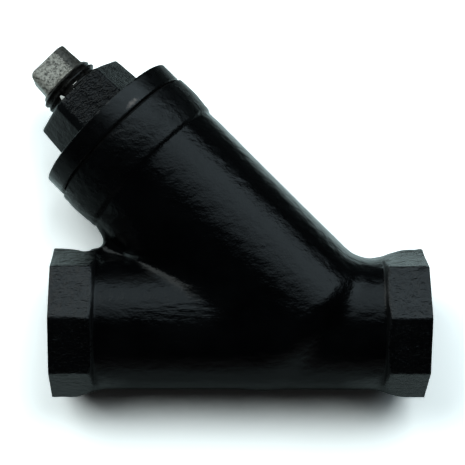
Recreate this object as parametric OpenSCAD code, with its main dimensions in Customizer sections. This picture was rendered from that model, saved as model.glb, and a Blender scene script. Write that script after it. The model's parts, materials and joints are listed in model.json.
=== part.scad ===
// Y-pattern line strainer with screwed pipe ends, a screwed cap and a blow-off plug.
// Millimetres. The run lies along X with the inlet face at x = 0 and the outlet towards -X.
// The branch leaves the run in the XY plane and leans towards the outlet. +Z is up.

/* [Run] */
// Length of the run, inlet face to outlet face
run_length = 80; // [76:0.5:110]
// Outside diameter of the run barrel
run_d = 28.4; // [27:0.1:30]
// Size across the flats of the octagon ends
end_af = 29.5; // [28.5:0.1:34]
// Length of each octagon end along the run
end_length = 9; // [6:0.1:14]
// Diameter of the waterway inside the run
waterway_d = 16; // [12:0.1:17]

/* [Pipe ports] */
// Straight wall diameter of each pipe port
port_d = 18.4; // [17.4:0.1:20]
// Depth of each pipe port from its face
port_depth = 14; // [10:0.1:16]

/* [Branch] */
// Distance from the inlet face to the crossing of the branch and run axes
branch_offset = 25; // [23:0.1:32]
// Angle between the branch axis and the run axis
branch_angle = 45; // [42:1:50]
// Outside diameter of the branch
branch_d = 34.8; // [33:0.1:37]
// Distance from the crossing of the axes to the joint face
branch_reach = 56.8; // [52:0.1:72]
// How far the branch's foot reaches past the crossing of the axes
branch_foot = 3.5; // [2:0.1:5]
// Rounding of the branch's foot
foot_round = 5.4; // [3:0.1:7]
// Widest diameter of the collar at the branch mouth
collar_d = 36.6; // [35:0.1:40]
// Diameter of the collar where it meets the gasket
collar_lip_d = 35.9; // [34:0.1:38]
// Length of the collar along the branch
collar_length = 9.3; // [8.2:0.1:14]
// Diameter of the collar where its foot stands on the branch
collar_foot_d = 35.7; // [35:0.1:36.4]
// Length of the slope that joins the collar's foot to the branch
collar_slope = 0.7; // [0.3:0.1:1.5]
// Length over which the collar swells from its foot to its widest
collar_swell = 4; // [2:0.1:4.5]
// Length over which the collar draws in to the joint face
collar_taper = 2.6; // [1:0.1:2.8]
// Fillet radius in the narrow crotch between branch and outlet end
crotch_round = 2.65; // [1.5:0.05:4]
// Width of the web that fills the narrow crotch
crotch_web = 7; // [3:0.1:12]

/* [Screen chamber] */
// Height of the chamber floor along the branch axis
chamber_floor = 5; // [4.5:0.1:7]
// Depth of the screen's seat below the chamber floor
seat_depth = 1.5; // [1:0.1:2]
// How much wider the elbow's ball is than the waterway
elbow_ease = 1; // [0.5:0.1:2]
// Metal left between the screen's seat and the outlet waterway
outlet_wall = 1; // [0.5:0.1:3]

/* [Cap] */
// Diameter of the cap flange
flange_d = 35.4; // [33:0.1:38]
// Thickness of the cap flange
flange_t = 4.7; // [3.4:0.1:7]
// Rounding of the flange's outer edge
flange_round = 1.5; // [0.3:0.1:2]
// Size across the flats of the hexagon at its base
hex_af = 20.8; // [19.5:0.1:26]
// Height of the hexagon
hex_height = 8.7; // [7.6:0.1:12]
// Draft angle of the hexagon's faces
hex_draft = 4.2; // [0.5:0.1:4.5]
// Turn of the hexagon about the branch axis
hex_turn = 0; // [0:1:30]
// Thread diameter of the cap's shank
cap_thread_d = 26; // [25.4:0.1:27]
// Thread pitch of the cap's shank
cap_pitch = 2; // [1.2:0.1:2.5]
// Thread depth of the cap's shank
cap_thread_depth = 1; // [0.5:0.05:1.1]
// Length of the shank below the flange
shank_length = 13; // [9:0.1:16]
// Metal left between the cap's hollow and the top of the flange
cap_crown = 5; // [4:0.1:6]
// Diameter of the blow-off passage through the crown
passage_d = 10; // [6:0.1:11]

/* [Gasket] */
// Thickness of the gasket
gasket_t = 0.6; // [0.3:0.1:2]

/* [Screen] */
// Outside diameter of the perforated sheet
screen_d = 19.6; // [18.4:0.1:19.8]
// Thickness of the perforated sheet
screen_wall = 0.6; // [0.4:0.05:0.8]
// Thickness of the mesh liner
liner_wall = 0.2; // [0.1:0.05:0.3]
// Outside diameter of the end rings
ring_d = 20.8; // [20.6:0.1:21.2]
// Height of each end ring
ring_height = 1.5; // [1:0.1:3]
// Size of the hexagon perforations across their corners
hole_d = 2.8; // [1.5:0.1:3.2]
// Spacing of the rows of perforations
hole_pitch = 6.5; // [5:0.1:9]
// Number of perforations in a row
holes_round = 8; // [6:2:10]
// Width of the lap strip along the rolled sheet
seam_w = 3; // [2:0.1:3.4]
// Thickness of the lap strip
seam_t = 0.4; // [0.3:0.05:0.5]

/* [Blow-off plug] */
// Thread diameter of the plug
plug_thread_d = 13.7; // [13:0.1:14]
// Thread pitch of the plug
plug_pitch = 1.41; // [1:0.01:1.6]
// Thread depth of the plug
plug_thread_depth = 0.7; // [0.4:0.05:0.9]
// Length of plug thread inside the cap
plug_engaged = 6.5; // [5:0.1:7]
// Length of plug thread left in sight above the hexagon
plug_exposed = 4.2; // [2:0.1:7]
// Size across the flats of the square head at its base
head_af = 10.6; // [9.5:0.1:11]
// Height of the square head
head_height = 5.6; // [4:0.1:9]
// Draft angle of the square head
head_draft = 4; // [0.5:0.1:5]
// Diameter over the turned corners of the square head
head_corner_d = 12.9; // [12:0.1:14]
// Free depth below the plug's end
plug_runout = 1; // [0.5:0.1:2]
// Thickness of the thread tape
tape_t = 0.15; // [0.1:0.01:0.2]
// Width of the thread tape
tape_w = 6; // [4:0.1:6.4]
// Length of tape left showing above the hexagon
tape_show = 0.4; // [0.2:0.1:1]

/* [Clearances] */
// Radial clearance of the cap's thread in the branch
cap_thread_gap = 0.2; // [0.1:0.05:0.3]
// Radial clearance of the end rings in their seats
ring_gap = 0.2; // [0.1:0.05:0.3]
// End clearance between the screen and the cap's hollow
screen_end_gap = 0.2; // [0.1:0.05:0.5]
// Radial clearance between the gasket and the cap's thread
gasket_gap = 0.4; // [0.2:0.05:1]
// Radial clearance on each side of the thread tape
tape_gap = 0.1; // [0.05:0.05:0.15]
// Radial clearance between the liner and the sheet
liner_gap = 0.05; // [0.02:0.01:0.1]

/* [Hidden] */
$fn = 96;
eps = 0.01;
overrun = 1;
flank_shares = [0.06, 0.42, 0.58, 0.94];
octagon = 8;
hexagon = 6;
square_sides = 4;
arc_steps = 8;
end_r = end_af / 2 / cos(180 / octagon);
run_r = run_d / 2;
branch_r = branch_d / 2;
collar_r = collar_d / 2;
chamber_r = cap_thread_d / 2 + cap_thread_gap;
seat_r = ring_d / 2 + ring_gap;
seat_at = chamber_floor - seat_depth;
outlet_start = branch_offset + chamber_r * sin(branch_angle) + chamber_floor * cos(branch_angle)
    + outlet_wall;
flange_base = branch_reach + gasket_t;
flange_top = flange_base + flange_t;
hex_top = flange_top + hex_height;
shank_end = flange_base - shank_length;
cap_root_r = cap_thread_d / 2 - cap_thread_depth;
cap_turns = floor((shank_length - cap_pitch) / cap_pitch);
hollow_floor = flange_top - cap_crown;
sheet_start = seat_at + ring_height;
sheet_end = hollow_floor - screen_end_gap - ring_height;
sheet_length = sheet_end - sheet_start;
screen_r = screen_d / 2;
liner_r = screen_r - screen_wall - liner_gap;
hole_rows = floor((sheet_length - hole_d) / hole_pitch);
seam_angle = seam_w / screen_r * 180 / PI;
plug_end = hex_top - plug_engaged;
plug_crest_r = plug_thread_d / 2;
plug_root_r = plug_crest_r - plug_thread_depth;
plug_turns = floor((plug_engaged + plug_exposed) / plug_pitch);
head_base = hex_top + plug_exposed;
tape_r = plug_crest_r + tape_gap;
tapping_r = tape_r + tape_t + tape_gap;
tapping_floor = plug_end - plug_runout;
tapping_turns = floor((hex_top - tapping_floor) / plug_pitch);

// Points of an arc about a centre, from one angle to another
function arc(centre, r, from, to) =
    [for (i = [0 : arc_steps])
        let (a = from + (to - from) * i / arc_steps)
        centre + r * [cos(a), sin(a)]];

// Profile of a row of thread rings, from root to crest and back, rising from z
function thread_outline(root, crest, z, pitch, turns) =
    [for (i = [0 : turns - 1], k = [0 : 3])
        let (radius = k == 0 || k == 3 ? root : crest)
        [radius, z + pitch * (i + flank_shares[k])]];

// Places its children along the run, with local Z from the inlet face towards the outlet
module on_run() {
    rotate([0, -90, 0]) children();
}

// Places its children along the branch, with local Z outwards from the crossing of the axes
module on_branch(z = 0) {
    translate([-branch_offset, 0, 0])
        rotate([-90, 0, 90 - branch_angle])
            translate([0, 0, z]) children();
}

// Prism with drafted faces, across the flats at its base
module drafted_prism(sides, af, height, draft) {
    reach = af;
    difference() {
        cylinder(h = height, r = reach);
        for (i = [0 : sides - 1])
            rotate([0, 0, i * 360 / sides])
                translate([af / 2, 0, 0])
                    rotate([0, -draft, 0])
                        translate([0, -2 * reach, -reach])
                            cube([2 * reach, 4 * reach, 2 * reach + height]);
    }
}

// Flat ring from one radius to another
module ring(inner_r, outer_r, height) {
    rotate_extrude()
        translate([inner_r, 0]) square([outer_r - inner_r, height]);
}

// Outline of the branch with its rounded foot and its collar, turned about the branch axis
module branch_form() {
    collar_start = branch_reach - collar_length;
    foot_centre = [branch_r - foot_round, foot_round - branch_foot];
    outline = concat(
        [[0, -branch_foot]],
        arc(foot_centre, foot_round, -90, 0),
        [[branch_r, collar_start],
         [collar_foot_d / 2, collar_start + collar_slope],
         [collar_r, collar_start + collar_slope + collar_swell],
         [collar_r, branch_reach - collar_taper],
         [collar_lip_d / 2, branch_reach],
         [0, branch_reach]]);
    on_branch() rotate_extrude() polygon(outline);
}

// Web with a round hollow that fills the narrow crotch between the branch and the outlet end
module crotch_fill() {
    centre_y = end_r + crotch_round;
    centre_p = -branch_r - crotch_round;
    centre_x = (centre_p - centre_y * cos(branch_angle)) / sin(branch_angle);
    on_side = [centre_x + crotch_round * sin(branch_angle), centre_y + crotch_round * cos(branch_angle)];
    into_branch = on_side + branch_r / 2 * [sin(branch_angle), cos(branch_angle)];
    translate([-branch_offset, 0, -crotch_web / 2])
        difference() {
            linear_extrude(crotch_web)
                polygon([[centre_x, run_r / 2], [centre_x, centre_y], on_side, into_branch,
                         [into_branch[0], run_r / 2]]);
            translate([centre_x, centre_y, -overrun])
                cylinder(h = crotch_web + 2 * overrun, r = crotch_round);
        }
}

// Waterways, elbow, screen seat, chamber and cap thread inside the body
module body_cavity() {
    on_run() translate([0, 0, -overrun]) cylinder(h = port_depth + overrun, d = port_d);
    on_run() translate([0, 0, run_length - port_depth])
        cylinder(h = port_depth + overrun, d = port_d);
    on_run() translate([0, 0, port_depth / 2])
        cylinder(h = branch_offset - port_depth / 2, d = waterway_d);
    on_branch() sphere(d = waterway_d + elbow_ease);
    on_branch() cylinder(h = chamber_floor + eps, d = waterway_d);
    on_run() translate([0, 0, outlet_start])
        cylinder(h = run_length - outlet_start - port_depth / 2, d = waterway_d);
    on_branch(seat_at) cylinder(h = seat_depth + eps, r = seat_r);
    on_branch(chamber_floor) cylinder(h = branch_reach - chamber_floor + overrun, r = chamber_r);
    on_branch() rotate_extrude()
        polygon(concat(
            [[chamber_r - overrun, shank_end]],
            thread_outline(chamber_r, chamber_r + cap_thread_depth, shank_end, cap_pitch, cap_turns),
            [[chamber_r - overrun, shank_end + cap_turns * cap_pitch]]));
}

// Iron casting with the run, the branch and the two pipe ports
module body() {
    color("#15181a") difference() {
        union() {
            on_run() cylinder(h = run_length, d = run_d);
            on_run() cylinder(h = end_length, r = end_r, $fn = octagon);
            on_run() translate([0, 0, run_length - end_length])
                cylinder(h = end_length, r = end_r, $fn = octagon);
            branch_form();
            crotch_fill();
        }
        body_cavity();
    }
}

// Screwed cap with its flange, hexagon, threaded shank, hollow and plug tapping
module cap() {
    outline = concat(
        [[0, shank_end]],
        [[cap_root_r, shank_end]],
        thread_outline(cap_root_r, cap_thread_d / 2, shank_end, cap_pitch, cap_turns),
        [[cap_root_r, flange_base],
         [flange_d / 2, flange_base]],
        arc([flange_d / 2 - flange_round, flange_top - flange_round], flange_round, 0, 90),
        [[0, flange_top]]);
    color("#1b1f21") difference() {
        union() {
            on_branch() rotate_extrude() polygon(outline);
            on_branch(flange_top - flange_t / 2) rotate([0, 0, hex_turn - 90])
                drafted_prism(hexagon, hex_af + flange_t * tan(hex_draft),
                              hex_height + flange_t / 2, hex_draft);
        }
        on_branch(shank_end - eps) cylinder(h = hollow_floor - shank_end + eps, r = seat_r);
        on_branch(hollow_floor - overrun) cylinder(h = hex_top - hollow_floor, d = passage_d);
        on_branch(tapping_floor) cylinder(h = hex_top - tapping_floor + overrun, r = tapping_r);
        on_branch() rotate_extrude()
            polygon(concat(
                [[tapping_r - overrun, tapping_floor]],
                thread_outline(tapping_r, tapping_r + plug_thread_depth / 2, tapping_floor,
                               plug_pitch, tapping_turns),
                [[tapping_r - overrun, tapping_floor + tapping_turns * plug_pitch]]));
    }
}

// Flat ring pinched between the collar and the cap flange
module cap_gasket() {
    color("#5c4630")
        on_branch(branch_reach)
            ring(cap_thread_d / 2 + gasket_gap, flange_d / 2, gasket_t);
}

// Rolled sheet with rows of perforations
module screen_sheet() {
    first_row = sheet_start + (sheet_length - (hole_rows - 1) * hole_pitch) / 2;
    color("#a8a9a6") difference() {
        on_branch(sheet_start) ring(screen_r - screen_wall, screen_r, sheet_length);
        for (row = [0 : hole_rows - 1], drill = [0 : holes_round / 2 - 1])
            on_branch(first_row + row * hole_pitch)
                rotate([90, 0, drill * 360 / holes_round])
                    cylinder(h = screen_d + overrun, d = hole_d, center = true, $fn = hexagon);
    }
}

// Lap strip that closes the rolled sheet, between two columns of perforations
module screen_seam() {
    middle = 90 + 180 / holes_round;
    color("#9a9b98")
        on_branch(sheet_start)
            rotate([0, 0, middle - seam_angle / 2])
                rotate_extrude(angle = seam_angle)
                    translate([screen_r, 0]) square([seam_t, sheet_length]);
}

// Fine mesh tube inside the perforated sheet
module screen_liner() {
    color("#c0c1be") on_branch(sheet_start) ring(liner_r - liner_wall, liner_r, sheet_length);
}

// End ring of the screen that sits in the body's seat
module screen_lower_ring() {
    color("#8d8e8b") on_branch(seat_at) ring(liner_r - liner_wall, ring_d / 2, ring_height);
}

// End ring of the screen that sits in the cap's hollow
module screen_upper_ring() {
    color("#8d8e8b") on_branch(sheet_end) ring(liner_r - liner_wall, ring_d / 2, ring_height);
}

// Square-head taper plug that closes the cap's tapping
module blowoff_plug() {
    outline = concat(
        [[0, plug_end]],
        [[plug_root_r, plug_end]],
        thread_outline(plug_root_r, plug_crest_r, plug_end, plug_pitch, plug_turns),
        [[plug_root_r, head_base],
         [0, head_base]]);
    color("#9b9a92") {
        on_branch() rotate_extrude() polygon(outline);
        on_branch(head_base) intersection() {
            drafted_prism(square_sides, head_af, head_height, head_draft);
            cylinder(h = head_height, d = head_corner_d);
        }
    }
}

// Thin sleeve of tape round the plug's thread
module plug_thread_tape() {
    color("#e4e4de") on_branch(hex_top + tape_show - tape_w) ring(tape_r, tape_r + tape_t, tape_w);
}

body();
cap();
cap_gasket();
screen_sheet();
screen_seam();
screen_liner();
screen_lower_ring();
screen_upper_ring();
blowoff_plug();
plug_thread_tape();
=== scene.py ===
"""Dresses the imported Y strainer: its castings, bare metal, screen, camera and light."""

import json
import logging
import math
from dataclasses import dataclass
from enum import Enum
from typing import Callable

import bmesh
import bpy
import numpy as np
from mathutils import Matrix, Vector, noise


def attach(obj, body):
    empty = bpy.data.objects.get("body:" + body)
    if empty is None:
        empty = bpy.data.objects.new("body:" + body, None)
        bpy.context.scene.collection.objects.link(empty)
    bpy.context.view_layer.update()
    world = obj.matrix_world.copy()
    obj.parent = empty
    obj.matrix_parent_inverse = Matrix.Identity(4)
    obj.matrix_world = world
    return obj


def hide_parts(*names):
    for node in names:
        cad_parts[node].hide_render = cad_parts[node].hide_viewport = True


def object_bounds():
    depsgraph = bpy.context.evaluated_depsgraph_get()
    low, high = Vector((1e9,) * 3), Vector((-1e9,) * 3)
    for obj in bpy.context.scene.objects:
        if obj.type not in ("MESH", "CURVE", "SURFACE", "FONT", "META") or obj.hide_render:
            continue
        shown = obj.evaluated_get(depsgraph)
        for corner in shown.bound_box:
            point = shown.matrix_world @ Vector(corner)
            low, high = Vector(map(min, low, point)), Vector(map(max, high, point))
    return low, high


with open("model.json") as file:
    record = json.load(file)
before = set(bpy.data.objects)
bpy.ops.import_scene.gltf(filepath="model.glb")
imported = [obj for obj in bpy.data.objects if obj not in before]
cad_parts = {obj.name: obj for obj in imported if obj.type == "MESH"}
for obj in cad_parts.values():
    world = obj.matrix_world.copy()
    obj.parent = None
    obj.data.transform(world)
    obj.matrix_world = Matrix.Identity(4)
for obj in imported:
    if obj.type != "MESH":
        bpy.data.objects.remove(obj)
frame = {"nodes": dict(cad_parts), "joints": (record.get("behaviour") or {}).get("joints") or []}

CAD_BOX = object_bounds()
MM = 0.001
LOG = logging.getLogger("strainer")
SHOULDER_MARK = "shoulder"
SHARP_ANGLE = 38
WELD = 1e-5
TINY = 1e-30
LEAST_SLOPE = 1e-6
LEAST_STEEP = 0.05
CUT_REACH = 1e-4
SEED_SHIFT = (1.0, 2.3, -1.7)
DULL_SPAN = (0.3, 0.75)
BOX_SPARE = (1.0, -0.002, -0.002)

Array = np.ndarray
Mesh = bpy.types.Mesh
Piece = bpy.types.Object
Material = bpy.types.Material
Socket = bpy.types.NodeSocket
Triple = tuple[float, float, float]
Pair = tuple[float, float]
Levels = tuple[Pair, ...]
Relief = tuple[Triple, ...]
Field = Callable[[Array], Array]
Outline = list[Pair]
Colour = tuple[float, float, float, float]
Span = tuple[float, float, float, float]


class BodyName(Enum):
    """The moving bodies of the frame."""

    BODY = "body"
    GASKET = "gasket"
    CAP = "cap"
    SCREEN = "screen"
    SEAL = "seal"
    PLUG = "plug"


class Slot(Enum):
    """The record's material slots."""

    BODY_PAINT = "body_paint"
    CAP_PAINT = "cap_paint"
    GASKET_FIBRE = "gasket_fibre"
    SCREEN_STEEL = "screen_steel"
    PLUG_IRON = "plug_iron"
    THREAD_TAPE = "thread_tape"


class Cut(Enum):
    """The ways one solid works on another."""

    JOIN = "UNION"
    TAKE_AWAY = "DIFFERENCE"


@dataclass(frozen=True)
class Axis:
    """A straight line with a right-handed frame of its own, in millimetres."""

    origin: Triple
    along: Triple
    across: Triple

    def place(self) -> Matrix:
        """Returns the matrix from the line's frame, with Z along it, to the part's frame.

        Returns:
            The matrix.
        """
        along = Vector(self.along).normalized()
        across = Vector(self.across).normalized()
        turn = Matrix((across, along.cross(across), along)).transposed().to_4x4()
        return Matrix.Translation(self.origin) @ turn

    def local(self, points: Array) -> Array:
        """Turns points of the part's frame into points of the line's frame.

        Args:
            points: One point in each row, in millimetres.

        Returns:
            The same points with Z along the line.
        """
        inverse = np.array(self.place().inverted())
        return points @ inverse[:3, :3].T + inverse[:3, 3]


def branch_axis() -> Axis:
    """Returns the branch's axis, read from the joint that turns the cap.

    Returns:
        The axis.
    """
    joint = next(j for j in frame["joints"] if j["name"] == "cap_turn")
    origin = tuple(value / MM for value in joint["pos_m"])
    along = Vector(joint["axis"]).normalized()
    across = Vector((0, 0, -1)).cross(along)
    return Axis(origin, tuple(along), tuple(across))


RUN = Axis((0, 0, 0), (-1, 0, 0), (0, 0, 1))
BRANCH = branch_axis()


def blend_min(a: Array, b: Array, width: float | Array) -> Array:
    """Joins two distance fields with a fillet between them.

    Args:
        a: First field's values.
        b: Second field's values.
        width: How far from the crease the fillet starts, in millimetres.

    Returns:
        The joined field's values.
    """
    share = np.clip(0.5 + 0.5 * (b - a) / width, 0, 1)
    return b * (1 - share) + a * share - width * share * (1 - share)


def blend_max(a: Array, b: Array, width: float) -> Array:
    """Crosses two distance fields with a rounded edge between them."""
    return -blend_min(-a, -b, width)


def ramp(values: Array, start: float, end: float) -> Array:
    """Returns a smooth step from 0 at start to 1 at end."""
    share = np.clip((values - start) / (end - start), 0, 1)
    return share * share * (3 - 2 * share)


def mottle(points: Array, size: float, seed: float) -> Array:
    """Returns smooth noise from about -1 to 1, with lumps of the given size in millimetres."""
    shift = Vector([part * seed for part in SEED_SHIFT])
    return np.array([noise.noise(Vector(point) / size + shift) for point in points])


def relief(points: Array, layers: Relief) -> Array:
    """Returns layers of noise added up, each with its depth, lump size and seed."""
    return sum(depth * mottle(points, size, seed) for depth, size, seed in layers)


def prism(x: Array, y: Array, half: Array | float, sides: int, turn: float, sharpness: float) -> Array:
    """Finds the distance to an even-sided prism.

    Args:
        x: How far each point lies across the prism's axis.
        y: How far it lies across the axis the other way.
        half: Half of the prism's width across flats.
        sides: How many flats go round.
        turn: The first flat's angle, in radians.
        sharpness: How crisp the corners are.

    Returns:
        The distance at each point, in millimetres.
    """
    total = np.zeros_like(x)
    for side in range(sides // 2):
        angle = turn + math.tau * side / sides
        total += np.abs((x * math.cos(angle) + y * math.sin(angle)) / half) ** sharpness
    return (np.maximum(total, TINY) ** (1 / sharpness) - 1) * half


def corner_of(out: Array, up: Array) -> Array:
    """Returns the distance to the square corner of two sides, from the distances to both."""
    return np.hypot(np.maximum(out, 0), np.maximum(up, 0)) + np.minimum(np.maximum(out, up), 0)


def slope_of(skin: Field, points: Array, step: float = 0.02) -> Array:
    """Returns a field's gradient at each point, by central differences.

    Args:
        skin: The signed distance field.
        points: One point in each row, in millimetres.
        step: Half of the distance between the two values.

    Returns:
        The gradient, one in each row.
    """
    columns = []
    for axis in range(3):
        shift = np.zeros(3)
        shift[axis] = step
        columns.append((skin(points + shift) - skin(points - shift)) / (2 * step))
    return np.stack(columns, axis=1)


def settle(points: Array, skin: Field, passes: int = 4) -> Array:
    """Moves points onto the surface where a field is zero.

    Args:
        points: Points near the surface, in millimetres.
        skin: The signed distance field.
        passes: How many steps to take.

    Returns:
        The moved points.
    """
    for _ in range(passes):
        slope = slope_of(skin, points)
        steep = np.maximum((slope ** 2).sum(axis=1), LEAST_STEEP)
        points = points - (skin(points) / steep)[:, None] * slope
    return points


def read_points(mesh: Mesh) -> Array:
    """Returns a mesh's vertices, one in each row.

    Args:
        mesh: The mesh, in millimetres.

    Returns:
        The vertices' places.
    """
    flat = np.empty(len(mesh.vertices) * 3)
    mesh.vertices.foreach_get("co", flat)
    return flat.reshape(-1, 3)


def write_points(mesh: Mesh, points: Array) -> None:
    """Puts moved vertices back into a mesh."""
    mesh.vertices.foreach_set("co", np.ascontiguousarray(points).ravel())
    mesh.update()


def placed(name: str, data: bpy.types.ID) -> Piece:
    """Puts a mesh, a lamp or a camera into the scene.

    Args:
        name: The new object's name.
        data: The mesh, lamp or camera.

    Returns:
        The new object.
    """
    piece = bpy.data.objects.new(name, data)
    bpy.context.scene.collection.objects.link(piece)
    return piece


def worked(mesh: Mesh, kind: str, **settings: object) -> Mesh:
    """Puts a mesh through one modifier.

    Args:
        mesh: The mesh to work on, which is used up.
        kind: The modifier's type.
        settings: The modifier's own settings.

    Returns:
        The worked mesh.
    """
    holder = placed("work", mesh)
    modifier = holder.modifiers.new("work", kind)
    for name, value in settings.items():
        setattr(modifier, name, value)
    graph = bpy.context.evaluated_depsgraph_get()
    result = bpy.data.meshes.new_from_object(holder.evaluated_get(graph))
    bpy.data.objects.remove(holder)
    bpy.data.meshes.remove(mesh)
    return result


def combined(mesh: Mesh, tool: Mesh, cut: Cut) -> Mesh:
    """Joins a tool solid to a mesh or cuts it away, and uses up both.

    Args:
        mesh: The mesh, in millimetres.
        tool: The other solid's mesh.
        cut: Whether the tool is joined or cut away.

    Returns:
        The new mesh.
    """
    holder = placed("tool", tool)
    result = worked(mesh, "BOOLEAN", object=holder, operation=cut.value, solver="MANIFOLD")
    bpy.data.objects.remove(holder)
    bpy.data.meshes.remove(tool)
    return result


def mesh_of(bm: bmesh.types.BMesh, place: Matrix | None = None) -> Mesh:
    """Closes a bmesh into a mesh, with its faces outwards.

    Args:
        bm: The bmesh, which is freed.
        place: Where to put it, in the part's frame.

    Returns:
        The new mesh.
    """
    bmesh.ops.remove_doubles(bm, verts=bm.verts, dist=WELD)
    if place:
        bmesh.ops.transform(bm, matrix=place, verts=bm.verts)
    bmesh.ops.recalc_face_normals(bm, faces=bm.faces)
    mesh = bpy.data.meshes.new("work")
    bm.to_mesh(mesh)
    bm.free()
    return mesh


def turned(bm: bmesh.types.BMesh, outline: Outline, steps: int = 96) -> list[bmesh.types.BMVert]:
    """Spins an outline of radius and height about Z.

    Args:
        bm: The bmesh that gets the shape.
        outline: Points of radius and height, in millimetres.
        steps: How many faces go round.

    Returns:
        The new vertices.
    """
    before = set(bm.verts)
    line = [bm.verts.new((radius, 0, height)) for radius, height in outline]
    edges = [bm.edges.new(pair) for pair in zip(line, line[1:])]
    bmesh.ops.spin(
        bm, geom=line + edges, cent=(0, 0, 0), axis=(0, 0, 1), angle=math.tau, steps=steps, use_merge=True
    )
    return [vert for vert in bm.verts if vert not in before]


def capped(outline: Outline) -> Outline:
    """Carries an outline in to the axis at both ends."""
    return [(0, outline[0][1]), *outline, (0, outline[-1][1])]


def rod(axis: Axis, radius: float, start: float, end: float) -> Mesh:
    """Makes a plain round rod.

    Args:
        axis: The rod's axis.
        radius: Its radius.
        start: Where it starts along the axis.
        end: Where it ends.

    Returns:
        The rod's mesh.
    """
    bm = bmesh.new()
    turned(bm, capped([(radius, start), (radius, end)]))
    return mesh_of(bm, axis.place())


def finely(outline: Outline, start: float, end: float, step: float) -> Outline:
    """Adds points to an outline where a stretch of it lies between two heights.

    Args:
        outline: Points of radius and height.
        start: Lower end of the fine stretch.
        end: Upper end of the fine stretch.
        step: Greatest spacing of the points there.

    Returns:
        The outline with the extra points.
    """
    fine = [outline[0]]
    for (r0, z0), (r1, z1) in zip(outline, outline[1:]):
        inside = min(z0, z1) < end and max(z0, z1) > start
        count = max(1, math.ceil(abs(z1 - z0) / step)) if inside else 1
        fine += [(r0 + (r1 - r0) * i / count, z0 + (z1 - z0) * i / count) for i in range(1, count + 1)]
    return fine


@dataclass(frozen=True)
class Thread:
    """A right-hand screw thread, as a helix on a turned solid."""

    root_r: float
    crest_r: float
    pitch: float
    start: float
    end: float
    crest_phase: float = 0.5
    lead: float = 0.6
    taper: float = 0.0
    flat: float = 0.14
    root_flat: float = 0.04
    half_turn: float = 0.42
    reach: float = 0.4
    rings_a_turn: int = 10
    steps: int = 72

    def cut(self, verts: list[bmesh.types.BMVert]) -> None:
        """Moves the vertices of the thread's stretch in or out along the helix.

        Args:
            verts: The turned solid's vertices.
        """
        for vert in verts:
            x, y, z = vert.co
            radius = math.hypot(x, y)
            core = min(self.root_r, self.crest_r) - self.reach
            if radius < core or not self.start <= z <= self.end:
                continue
            phase = (z / self.pitch - math.atan2(y, x) / math.tau + self.crest_phase + 0.5) % 1
            flank = (0.5 - abs(phase - 0.5) - self.root_flat) / (self.half_turn - self.flat / 2)
            tooth = min(1, max(0, flank))
            fade = min(1, (z - self.start) / self.lead, (self.end - z) / self.lead)
            thick = self.root_r + (self.crest_r - self.root_r) * tooth * max(0, fade)
            thick -= self.taper * (self.end - z)
            vert.co.x *= thick / radius
            vert.co.y *= thick / radius

    def mesh(self, outline: Outline, axis: Axis) -> Mesh:
        """Returns a turned solid with this thread on it.

        Args:
            outline: Points of radius and height.
            axis: The solid's axis.

        Returns:
            The solid's mesh.
        """
        bm = bmesh.new()
        fine = finely(capped(outline), self.start, self.end, self.pitch / self.rings_a_turn)
        self.cut(turned(bm, fine, self.steps))
        return mesh_of(bm, axis.place())


def trim(mesh: Mesh, point: Vector, outwards: Vector) -> None:
    """Cuts a solid off flat and closes the cut.

    Args:
        mesh: The solid's mesh.
        point: A point of the cutting plane.
        outwards: The side that is cut away.
    """
    bm = bmesh.new()
    bm.from_mesh(mesh)
    geometry = bm.verts[:] + bm.edges[:] + bm.faces[:]
    cut = bmesh.ops.bisect_plane(
        bm, geom=geometry, dist=CUT_REACH, plane_co=point, plane_no=outwards, clear_outer=True
    )
    rim = [item for item in cut["geom_cut"] if isinstance(item, bmesh.types.BMEdge)]
    bmesh.ops.edgeloop_fill(bm, edges=rim)
    bm.to_mesh(mesh)
    bm.free()


def cast(lump: Mesh, skin: Field, grain: float) -> Mesh:
    """Makes one even skin over a rough lump of overlapping solids.

    Args:
        lump: Closed solids that overlap, roughly in the casting's shape.
        skin: The casting's signed distance field.
        grain: Size of the skin's faces, in millimetres.

    Returns:
        The casting's mesh.
    """
    for _ in range(2):
        lump = worked(lump, "REMESH", mode="VOXEL", voxel_size=grain)
        write_points(lump, settle(read_points(lump), skin))
    return lump


def roughen(mesh: Mesh, skin: Field, depth_at: Field) -> None:
    """Sinks a casting's skin by a depth that varies from place to place, inside the part's box.

    Args:
        mesh: The mesh, in millimetres.
        skin: The signed distance field.
        depth_at: The field of depths.
    """
    points = read_points(mesh)
    slope = slope_of(skin, points)
    outwards = slope / np.maximum(np.linalg.norm(slope, axis=1), LEAST_SLOPE)[:, None]
    low, high = (np.array(corner) / MM for corner in CAD_BOX)
    spare = np.array(BOX_SPARE)
    write_points(mesh, np.clip(points - outwards * depth_at(points)[:, None], low - spare, high + spare))


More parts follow.
